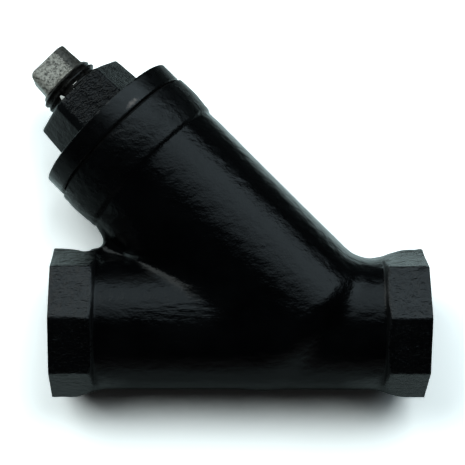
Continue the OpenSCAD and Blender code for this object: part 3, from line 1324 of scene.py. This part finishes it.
@dataclass
class ScrewedCap:
    """The cap with its flange, hexagon, threaded shank and plug tapping."""

    flange_base: float = 57.4
    flange_t: float = 4.7
    flange_r: float = 17.7
    flange_round: float = 0.2
    under_round: float = 0.5
    under_fade: float = 0.6
    hex_af: float = 20.8
    hex_sides: int = 6
    hex_sharpness: float = 120
    hex_height: float = 8.7
    hex_draft: float = 4.2
    hex_taper: float = 0.95
    hex_fade: float = 1.0
    hex_paint: float = 0.2
    bevel_turn: float = -30.0
    bevel_cut: float = 0.45
    bevel_round: float = 0.2
    top_round: float = 0.7
    root_round: float = 0.5
    root_ease: float = 1.4
    thread_r: float = 13.0
    thread_depth: float = 1.0
    thread_gap: float = 1.5
    pitch: float = 2.0
    shank_length: float = 13.0
    shank_chamfer: float = 0.6
    shank_paint: float = 0.05
    hollow_r: float = 10.6
    hollow_floor: float = 57.1
    passage_r: float = 5.0
    tapping_r: float = 7.2
    tapping_depth: float = 7.5
    tapping_pitch: float = 1.41
    tapping_thread_depth: float = 0.35
    tapping_chamfer: float = 0.4
    flow: Triple = (0.6, 1.0, 1.0)
    waves: Relief = ((0.04, 6.0, 8.0),)
    lumps: Relief = ((0.01, 0.8, 3.0), (0.02, 1.8, 4.0))
    wrinkles: Relief = ((0.04, 0.8, 3.0), (0.04, 1.8, 4.0))
    calm_side: Pair = (-5.8, -4.6)
    calm: float = 0.2
    grain: float = 0.28
    over: float = 1.0
    paint_depth: float = 0.8

    @property
    def flange_top(self) -> float:
        """Height of the flange's upper face along the branch."""
        return self.flange_base + self.flange_t

    @property
    def hex_top(self) -> float:
        """Height of the hexagon's end along the branch."""
        return self.flange_top + self.hex_height

    def skin(self, points: Array) -> Array:
        """Finds the distance to the flange and hexagon, with their rounded edges.

        Args:
            points: One point in each row, in millimetres.

        Returns:
            The distance at each point, in millimetres.
        """
        x, y, t = BRANCH.local(points).T
        middle = self.flange_base + self.flange_t / 2
        rounding = np.where(t > middle, self.flange_round, self.under_round)
        out = np.hypot(x, y) - self.flange_r + rounding
        flange = corner_of(out, np.abs(t - middle) - self.flange_t / 2 + rounding) - rounding
        half = self.hex_af / 2 - (t - self.flange_top) * math.tan(math.radians(self.hex_draft))
        nut = prism(x, y, half, self.hex_sides, -math.pi / 2, self.hex_sharpness)
        turn = math.radians(self.bevel_turn)
        corner = half / math.cos(math.pi / self.hex_sides)
        bevel = x * math.sin(turn) - y * math.cos(turn) - corner + self.bevel_cut
        nut = blend_max(nut, bevel, self.bevel_round)
        nut = blend_max(nut, t - self.hex_top, self.top_round)
        nut = blend_max(nut, middle - t, self.root_round)
        return blend_min(flange, nut, self.root_ease)

    def lump(self) -> Mesh:
        """Makes the overlapping solids that the cap's head starts from.

        Returns:
            The lump's mesh.
        """
        bm = bmesh.new()
        turned(bm, capped([(self.flange_r, self.flange_base), (self.flange_r, self.flange_top)]))
        height = self.hex_height + self.flange_t / 2
        corner_r = self.hex_af / 2 / math.cos(math.pi / self.hex_sides)
        bmesh.ops.create_cone(
            bm, cap_ends=True, segments=self.hex_sides, radius1=corner_r, radius2=corner_r * self.hex_taper,
            depth=height, matrix=Matrix.Translation((0, 0, self.hex_top - height / 2)),
        )
        return mesh_of(bm, BRANCH.place())

    def sag(self, points: Array) -> Array:
        """Finds how far the cast skin lies below its true form.

        Args:
            points: One point in each row, in millimetres.

        Returns:
            The depth at each point.
        """
        across, _, heights = BRANCH.local(points).T
        on_hexagon = ramp(heights, self.flange_top, self.flange_top + self.hex_fade)
        on_hexagon *= self.calm + (1 - self.calm) * ramp(across, *self.calm_side)
        under = ramp(heights, self.flange_base, self.flange_base + self.under_fade)
        drawn = points * np.array(self.flow)
        rough = relief(drawn, self.lumps) + on_hexagon * relief(drawn, self.wrinkles)
        return under * (rough + relief(points, self.waves))

    def shank(self) -> Mesh:
        """Makes the threaded shank below the flange.

        Returns:
            The shank's mesh.
        """
        end = self.flange_base - self.shank_length
        root_r = self.thread_r - self.thread_depth
        thread_end = self.flange_base - self.thread_gap
        thread = Thread(root_r, self.thread_r, self.pitch, end, thread_end, crest_phase=0.0)
        outline = [
            (root_r - self.shank_chamfer, end), (root_r, end + self.shank_chamfer), (root_r, thread_end),
            (root_r, self.flange_base + self.over),
        ]
        return thread.mesh(outline, BRANCH)

    def cavity(self) -> Mesh:
        """Makes the screen's hollow, the passage and the plug's tapping as one solid.

        Returns:
            The tool's mesh.
        """
        floor = self.hex_top - self.tapping_depth
        lip_r = self.tapping_r + self.tapping_chamfer
        crest_r = self.tapping_r + self.tapping_thread_depth
        thread = Thread(self.tapping_r, crest_r, self.tapping_pitch, floor, self.hex_top)
        outline = [
            (self.hollow_r, self.flange_base - self.shank_length - self.over),
            (self.hollow_r, self.hollow_floor), (self.passage_r, self.hollow_floor),
            (self.passage_r, floor), (self.tapping_r, floor),
            (self.tapping_r, self.hex_top - self.tapping_chamfer), (lip_r, self.hex_top),
            (lip_r, self.hex_top + self.over),
        ]
        return thread.mesh(outline, BRANCH)

    def build(self) -> None:
        """Makes the painted cap with its bare shank."""
        mesh = cast(self.lump(), self.skin, self.grain)
        roughen(mesh, self.skin, self.sag)
        mesh = combined(mesh, self.shank(), Cut.JOIN)
        mesh = combined(mesh, self.cavity(), Cut.TAKE_AWAY)
        centres = face_centres(mesh)
        heights = BRANCH.local(centres)[:, 2]
        bare_and_glint = (self.skin(centres) < -self.paint_depth) | (heights < self.flange_base - self.shank_paint)
        painted = np.where(heights > self.flange_top + self.hex_paint, 1, 0)
        dress_faces(mesh, np.where(bare_and_glint, 2, painted))
        make_piece(
            "screwed_cap", mesh, BodyName.CAP, "cap", Slot.CAP_PAINT, FLANGE_PAINT, HEXAGON_PAINT, BORE_IRON
        )


@dataclass
class CapGasket:
    """The thin fibre ring pinched between the collar and the cap."""

    inner_r: float = 13.4
    outer_r: float = 17.2
    base: float = 56.8
    thick: float = 0.6
    spare: float = 0.02
    steps: int = 240
    edge: float = 1.0
    ragged: float = 0.35
    ragged_mean: float = 0.9
    ragged_sizes: Pair = (1.1, 0.4)
    lip: Triple = (-5.0, 6.0, 1.05)

    def build(self) -> None:
        """Makes the ring with its ragged outer edge."""
        low = self.base + self.spare
        high = self.base + self.thick - self.spare
        middle_r = (self.inner_r + self.outer_r) / 2
        outline = [
            (self.inner_r, low), (middle_r, low), (self.outer_r, low), (self.outer_r, high),
            (middle_r, high), (self.inner_r, high), (self.inner_r, low),
        ]
        at, half, rise = self.lip
        wide, fine = self.ragged_sizes
        bm = bmesh.new()
        for vert in turned(bm, outline, self.steps):
            place = Vector((vert.co.x, vert.co.y, 0))
            if place.length > middle_r + self.edge:
                bite = self.ragged_mean + noise.noise(place / wide) + 0.5 * noise.noise(place / fine)
                gap = abs(math.degrees(math.atan2(place.y, place.x)) - at)
                out = rise * max(0, 1 - gap / half) - max(0, self.ragged * bite / 2)
                vert.co.xy *= 1 + out / self.outer_r
        mesh = mesh_of(bm, BRANCH.place())
        make_piece("gasket_ring", mesh, BodyName.GASKET, "cap_gasket", Slot.GASKET_FIBRE, GASKET_FIBRE)


@dataclass
class BlowOffPlug:
    """The square-headed taper plug and the tape round its thread."""

    end: float = 64.3
    thread_r: float = 6.85
    thread_depth: float = 0.7
    pitch: float = 1.41
    head_base: float = 75.0
    head_af: float = 10.6
    head_height: float = 5.6
    head_draft: float = 4.0
    head_corners: tuple[Pair, Pair] = ((6.4, 6.2), (6.45, 6.0))
    head_sink: float = 0.4
    side_round: float = 0.4
    corner_round: float = 0.25
    cut_round: float = 0.3
    top_round: float = 0.5
    base_round: float = 0.6
    top_lean: float = 0.7
    top_cut: float = 0.75
    thread_gap: float = 0.2
    thread_chamfer: float = 0.3
    thread_taper: float = 0.008
    thread_steps: int = 96
    neck: Pair = (1.4, 1.0)
    bare_from: float = 0.25
    forging: Relief = ((0.018, 0.4, 2.0), (0.02, 1.2, 4.0), (0.02, 4.0, 6.0))
    forging_mean: float = 0.03
    tape_r: float = 6.95
    tape_t: float = 0.15
    tape_top: float = 70.9
    tape_w: float = 6.0
    tape_tuck: float = 0.6
    tape_lean: float = 0.15
    tape_ragged: Pair = (0.15, 4.0)
    tape_tags: tuple[Triple, ...] = ((-119.0, 8.0, 1.9), (-94.0, 2.8, 0.95), (70.0, 6.0, 0.9))
    tape_tag_full: float = 1.15
    tape_band: float = 1.0
    tape_steps: int = 360
    tape_strand: Triple = (-90.0, 9.0, 71.85)
    tape_strand_w: float = 0.07
    tape_strand_steps: int = 8
    grain: float = 0.17

    def skin(self, points: Array) -> Array:
        """Finds the distance to the drafted square head.

        Args:
            points: One point in each row, in millimetres.

        Returns:
            The distance at each point, in millimetres.
        """
        x, y, t = BRANCH.local(points).T
        half = self.head_af / 2 - (t - self.head_base) * math.tan(math.radians(self.head_draft))
        square = blend_max(np.abs(x) - half, np.abs(y) - half, self.side_round)
        back, front = (np.where(x > 0, right, left) for left, right in self.head_corners)
        square = blend_max(square, np.hypot(x, y) - np.where(y < 0, front, back), self.corner_round)
        top = t - self.head_base - self.head_height
        corner = self.top_lean * (top - x - self.head_af / 2) + self.top_cut
        square = blend_max(square, corner, self.cut_round)
        square = blend_max(square, top, self.top_round)
        return blend_max(square, self.head_base - self.head_sink - t, self.base_round)

    def sag(self, points: Array) -> Array:
        """Returns how far the forged skin lies below its true form."""
        return self.forging_mean + relief(points, self.forging)

    def head(self) -> Mesh:
        """Makes the forged square head.

        Returns:
            The head's mesh.
        """
        bm = bmesh.new()
        height = self.head_height + self.head_sink
        place = Matrix.Translation((0, 0, self.head_base - self.head_sink + height / 2))
        size = Matrix.Diagonal((self.head_af, self.head_af, height, 1))
        bmesh.ops.create_cube(bm, size=1, matrix=place @ size)
        mesh = cast(mesh_of(bm, BRANCH.place()), self.skin, self.grain)
        roughen(mesh, self.skin, self.sag)
        return mesh

    def build(self) -> None:
        """Makes the plug with its bare head and oily thread."""
        root_r = self.thread_r - self.thread_depth
        thread = Thread(
            root_r, self.thread_r, self.pitch, self.end, self.head_base - self.thread_gap, crest_phase=0.0,
            taper=self.thread_taper, steps=self.thread_steps,
        )
        narrow, rise = self.neck
        outline = [
            (root_r - self.thread_chamfer, self.end), (root_r, self.end + self.thread_chamfer),
            (root_r, self.head_base), (root_r - narrow, self.head_base + rise),
        ]
        mesh = combined(self.head(), thread.mesh(outline, BRANCH), Cut.JOIN)
        heights = BRANCH.local(face_centres(mesh))[:, 2]
        dress_faces(mesh, np.where(heights < self.head_base - self.bare_from, 1, 0))
        make_piece(
            "square_plug", mesh, BodyName.PLUG, "blowoff_plug", Slot.PLUG_IRON, PLUG_IRON, THREAD_IRON
        )

    def tape_edge(self, angle: float) -> float:
        """Finds how far the tape's torn upper edge stands above its even height.

        Args:
            angle: The angle round the axis, in radians.

        Returns:
            The rise, in millimetres.
        """
        depth, turns = self.tape_ragged
        rise = depth * noise.noise(Vector((math.cos(angle), math.sin(angle), 0)) * turns)
        for at, half, height in self.tape_tags:
            gap = abs((math.degrees(angle) - at + 180) % 360 - 180)
            rise = max(rise, height * min(1, max(0, self.tape_tag_full * (1 - gap / half))))
        return rise

    def build_tape(self) -> None:
        """Makes the torn sleeve of tape round the plug's thread."""
        low = self.tape_top - self.tape_w
        high = self.tape_top - self.tape_tuck
        band = high - self.tape_band
        inner = self.tape_r
        outer = self.tape_r + self.tape_t
        outline = [
            (inner, low), (outer, low), (outer, band), (outer, high), (inner, high), (inner, band),
            (inner, low),
        ]
        bm = bmesh.new()
        for vert in turned(bm, outline, self.tape_steps):
            if vert.co.z > high - self.tape_band / 2:
                rise = self.tape_edge(math.atan2(vert.co.y, vert.co.x))
                vert.co.xy *= 1 + self.tape_lean * max(0, rise) / inner
                vert.co.z += rise
        start, sweep, height = self.tape_strand
        top = height + self.tape_strand_w
        corners = [(inner, 0, height), (outer, 0, height), (outer, 0, top), (inner, 0, top)]
        strip = [bm.verts.new(corner) for corner in corners]
        bmesh.ops.rotate(bm, verts=strip, matrix=Matrix.Rotation(math.radians(start), 3, "Z"))
        bmesh.ops.spin(
            bm, geom=[bm.faces.new(strip)], cent=(0, 0, 0), axis=(0, 0, 1), angle=math.radians(sweep),
            steps=self.tape_strand_steps,
        )
        mesh = mesh_of(bm, BRANCH.place())
        make_piece("thread_tape", mesh, BodyName.SEAL, "plug_thread_tape", Slot.THREAD_TAPE, TAPE_FILM)


@dataclass
class Screen:
    """The rolled perforated sheet, its mesh liner, lap strip and end rings."""

    outer_r: float = 9.8
    wall: float = 0.6
    start: float = 5.0
    end: float = 55.4
    columns: int = 36
    rows: int = 29
    hole_r: float = 0.55
    margin: float = 0.35
    hole_reach: float = 1.2

    def build(self) -> None:
        """Makes the perforated sheet."""
        bm = bmesh.new()
        step = (self.end - self.start) / self.rows
        turned(bm, [(self.outer_r, self.start + step * row) for row in range(self.rows + 1)], self.columns)
        bmesh.ops.remove_doubles(bm, verts=bm.verts, dist=WELD)
        cells = bm.faces[:]
        bmesh.ops.inset_individual(bm, faces=cells, thickness=self.margin)
        centres = np.array([cell.calc_center_median() for cell in cells])
        edges = list({edge for cell in cells for edge in cell.edges})
        bmesh.ops.delete(bm, geom=cells, context="FACES_ONLY")
        bmesh.ops.subdivide_edges(bm, edges=edges, cuts=1)
        holes = [edge for edge in bm.edges if edge.is_boundary]
        for vert in {vert for edge in holes for vert in edge.verts}:
            gaps = np.linalg.norm(centres - np.array(vert.co), axis=1)
            nearest = int(gaps.argmin())
            if gaps[nearest] < self.hole_reach:
                middle = Vector(centres[nearest])
                vert.co = middle + (vert.co - middle).normalized() * self.hole_r
        bmesh.ops.recalc_face_normals(bm, faces=bm.faces)
        bmesh.ops.solidify(bm, geom=bm.faces[:], thickness=self.wall)
        mesh = mesh_of(bm, BRANCH.place())
        make_piece(
            "perforated_sheet", mesh, BodyName.SCREEN, "screen_sheet", Slot.SCREEN_STEEL, SCREEN_STEEL
        )

    def dress(self) -> None:
        """Gives the plain turned pieces of the screen their finishes."""
        steel = SCREEN_STEEL.material()
        finishes = {"screen_seam": steel, "screen_lower_ring": steel, "screen_upper_ring": steel,
                    "screen_liner": MESH_STEEL.material()}
        for node, finish in finishes.items():
            mesh = frame["nodes"][node].data
            mesh.materials.clear()
            mesh.materials.append(finish)


@dataclass(frozen=True)
class Lamp:
    """A flat soft lamp, as bright as its face or as what it adds to a white floor."""

    name: str
    at: Triple
    size: Pair
    radiance: float = 0.0
    level: float = 0.0
    shows: bool = False
    lights: bool = True
    colour: Triple = (0.9, 1.0, 1.0)
    fades: bool = False
    aim: Triple = (-0.04, 0.02, 0.0)


@dataclass
class Studio:
    """The pale floor, the soft light and the camera above the part."""

    camera_at: Triple = (-0.049868, -0.024867, 0.363736)
    yaw: float = -1.3456
    pitch: float = 6.999
    roll: float = 0.022
    lens: float = 130.44
    sensor: float = 36.0
    floor_size: float = 3.0
    rests: tuple[Triple, ...] = ((-62.3, 37.3, -18.3), (-26.4, 1.4, -17.45), (-80.0, 0.0, -15.97))
    lamps: tuple[Lamp, ...] = (
        Lamp("panel", (0.4, 0.54, 0.64), (1.3, 1.02), radiance=0.92, shows=True, fades=True,
             colour=(0.8, 1.0, 1.1), aim=(0.4, 0.02, 0.0)),
        Lamp("key", (0.22, 0.4, 0.95), (0.6, 0.6), level=0.4),
        Lamp("fill", (-0.5, 0.38, 0.85), (0.6, 0.6), level=0.48),
        Lamp("card", (-0.52, 0.69, 0.5), (0.46, 0.9), radiance=1.0, shows=True, lights=False),
    )
    panel_fade: Levels = (
        (0.0, 0.35), (0.12, 0.85), (0.25, 1.0), (0.5, 0.95), (0.65, 0.82), (0.8, 0.6), (1.0, 0.2)
    )
    panel_turn: Levels = ((0.45, 1.0), (0.85, 0.78))
    # The floor's colour for gloss rays is painted shade: darker in front, far off, to the left and in the
    # run's shadow.
    floor_span: Pair = (-0.15, 0.08)
    floor_fade: Levels = (
        (0.0, 0.17), (0.38, 0.19), (0.45, 0.31), (0.52, 0.32), (0.56, 0.2), (0.72, 0.2),
        (0.77, 0.97), (0.91, 0.95), (0.955, 0.42)
    )
    floor_lean: Pair = (0.5, 0.87)
    floor_far: Span = (0.03, 0.057, 1.0, 0.04)
    floor_left: Span = (-0.105, -0.085, 0.6, 1.0)
    floor_middle: float = 0.04
    # Painted shadow of the run on the floor, as the gloss sees it.
    floor_beside: Span = (0.024, 0.034, 0.42, 1.0)
    floor_front: Span = (-0.065, -0.045, 1.0, 0.0)
    floor_behind: Span = (-0.012, -0.004, 0.0, 1.0)
    floor_bounce: float = 0.9
    # Painted cool tint of the floor in the gloss.
    floor_cool: float = 0.86
    floor_white: float = 1.65
    glow: Span = (0.0, 0.38, 0.13, 0.0)
    glow_side: Span = (-0.92, -0.75, 1.0, 0.0)
    ambient: float = 0.01

    def build_camera(self) -> None:
        """Sets the camera at the place that the picture was taken from."""
        camera = bpy.data.cameras.new("camera")
        camera.sensor_width = self.sensor
        camera.lens = self.lens
        holder = placed("camera", camera)
        place = Matrix.Translation(self.camera_at)
        for angle, axis in ((self.yaw, "Y"), (self.pitch, "X"), (self.roll, "Z")):
            place @= Matrix.Rotation(math.radians(angle), 4, axis)
        holder.matrix_world = place
        bpy.context.scene.camera = holder

    def build_floor(self) -> None:
        """Lays the pale floor under the three points that the part rests on."""
        first, second, third = (Vector(point) * MM for point in self.rests)
        upwards = (second - first).cross(third - first).normalized()
        if upwards.z < 0:
            upwards.negate()
        bm = bmesh.new()
        bmesh.ops.create_grid(bm, x_segments=1, y_segments=1, size=self.floor_size / 2)
        turn = Vector((0, 0, 1)).rotation_difference(upwards).to_matrix().to_4x4()
        bmesh.ops.transform(bm, matrix=Matrix.Translation(first) @ turn, verts=bm.verts)
        mesh = bpy.data.meshes.new("floor")
        bm.to_mesh(mesh)
        bm.free()
        mesh.materials.append(self.floor_material())
        placed("floor", mesh)

    def floor_material(self) -> Material:
        """Returns the floor's white, which the gloss sees only where the room is lit: to gloss rays its
        colour carries painted shade and a painted cool tint.

        Returns:
            The material.
        """
        graph = NodeGraph(bpy.data.materials.new("white_floor"))
        path = graph.add("LightPath").outputs
        place = graph.split(graph.place)
        # Painted shade for gloss rays: the floor's level falls off in front, far away and to the left.
        near = graph.fade(graph.span(place["Y"], *self.floor_span), self.floor_fade)
        rightwards, upwards = self.floor_lean
        slant = graph.math("MULTIPLY", place["X"], rightwards)
        slant = graph.math("MULTIPLY_ADD", place["Y"], upwards, slant)
        left = graph.span(place["X"], *self.floor_left)
        painted_gloss_shade = graph.math("MULTIPLY", near, graph.math("MULTIPLY", graph.span(slant, *self.floor_far), left))
        # Painted shadow of the run: a darker band beneath it, for gloss rays.
        middle = graph.math("ABSOLUTE", graph.math("ADD", place["X"], self.floor_middle))
        painted_run_shadow = graph.span(middle, *self.floor_beside)
        for edge in (self.floor_front, self.floor_behind):
            painted_run_shadow = graph.math("MAXIMUM", painted_run_shadow, graph.span(place["Y"], *edge))
        painted_gloss_shade = graph.math("MULTIPLY", painted_gloss_shade, painted_run_shadow)
        level = graph.add("Mix", {0: path["Is Glossy Ray"], 2: self.floor_bounce, 3: painted_gloss_shade}).outputs[0]
        level = graph.add("Mix", {0: path["Is Camera Ray"], 2: level, 3: self.floor_white}).outputs[0]
        # Painted cool tint: the red is lowered for gloss rays.
        gloss_tinted_red = graph.math("MULTIPLY", level, graph.span(path["Is Glossy Ray"], 0, 1, 1, self.floor_cool))
        colour = graph.add("CombineColor", {0: gloss_tinted_red, 1: level, 2: level}).outputs[0]
        return graph.finish("BsdfDiffuse", {"Color": colour})

    def hang(self, lamp: Lamp) -> bpy.types.Light:
        """Hangs one flat lamp that faces the part.

        Args:
            lamp: The lamp's place, size and strength.

        Returns:
            The lamp's light.
        """
        towards = Vector(lamp.at) - Vector(lamp.aim)
        back = towards.normalized()
        across = Vector((0, 0, 1)).cross(back).normalized()
        area = lamp.size[0] * lamp.size[1]
        lit = lamp.level * math.pi * towards.length_squared / (area * back.z)
        light = bpy.data.lights.new(lamp.name, "AREA")
        light.shape = "RECTANGLE"
        light.size, light.size_y = lamp.size
        light.energy = (lamp.radiance or lit) * math.pi * area
        light.color = lamp.colour
        holder = placed(lamp.name, light)
        turn = Matrix((across, back.cross(across), back)).transposed().to_4x4()
        holder.matrix_world = Matrix.Translation(lamp.at) @ turn
        holder.visible_camera = False
        holder.visible_glossy = lamp.shows
        holder.visible_diffuse = lamp.lights
        return light

    def soften(self, light: bpy.types.Light) -> None:
        """Dims a lamp's face towards its lower and upper edges.

        Args:
            light: The lamp's light.
        """
        graph = NodeGraph(light)
        across = graph.split(graph.add("NewGeometry").outputs["Parametric"])
        fades = graph.fade(across["Y"], self.panel_fade), graph.fade(across["X"], self.panel_turn)
        graph.finish("Emission", {"Strength": graph.math("MULTIPLY", *fades)}, "OutputLight")

    def build_light(self) -> None:
        """Hangs the panel that the gloss shows and the soft lamps for matt surfaces."""
        for lamp in self.lamps:
            light = self.hang(lamp)
            if lamp.fades:
                self.soften(light)

    def build_world(self) -> None:
        """Makes the surroundings: white to the camera, an even fill for matt surfaces, dark in the gloss."""
        world = bpy.data.worlds.new("studio")
        bpy.context.scene.world = world
        graph = NodeGraph(world)
        path = graph.add("LightPath").outputs
        sky = graph.split(graph.add("TexCoord").outputs["Generated"])
        low = graph.span(sky["Z"], *self.glow)
        shown = graph.math("MULTIPLY", path["Is Glossy Ray"], low)
        shown = graph.math("MULTIPLY", shown, graph.span(sky["Y"], *self.glow_side))
        lit = graph.math("MAXIMUM", graph.math("MULTIPLY", path["Is Diffuse Ray"], self.ambient), shown)
        strength = graph.math("MAXIMUM", path["Is Camera Ray"], lit)
        graph.finish("Background", {"Strength": strength}, "OutputWorld")

    def build(self) -> None:
        """Makes the camera, floor and light."""
        self.build_camera()
        self.build_floor()
        self.build_light()
        self.build_world()
        bpy.context.scene.view_settings.view_transform = "Standard"


def main() -> None:
    """Builds the studio and every piece."""
    logging.basicConfig(level=logging.INFO, format="%(message)s")
    Studio().build()
    StrainerBody().build()
    ScrewedCap().build()
    CapGasket().build()
    plug = BlowOffPlug()
    plug.build()
    plug.build_tape()
    screen = Screen()
    screen.build()
    screen.dress()


if __name__ == "__main__":
    main()
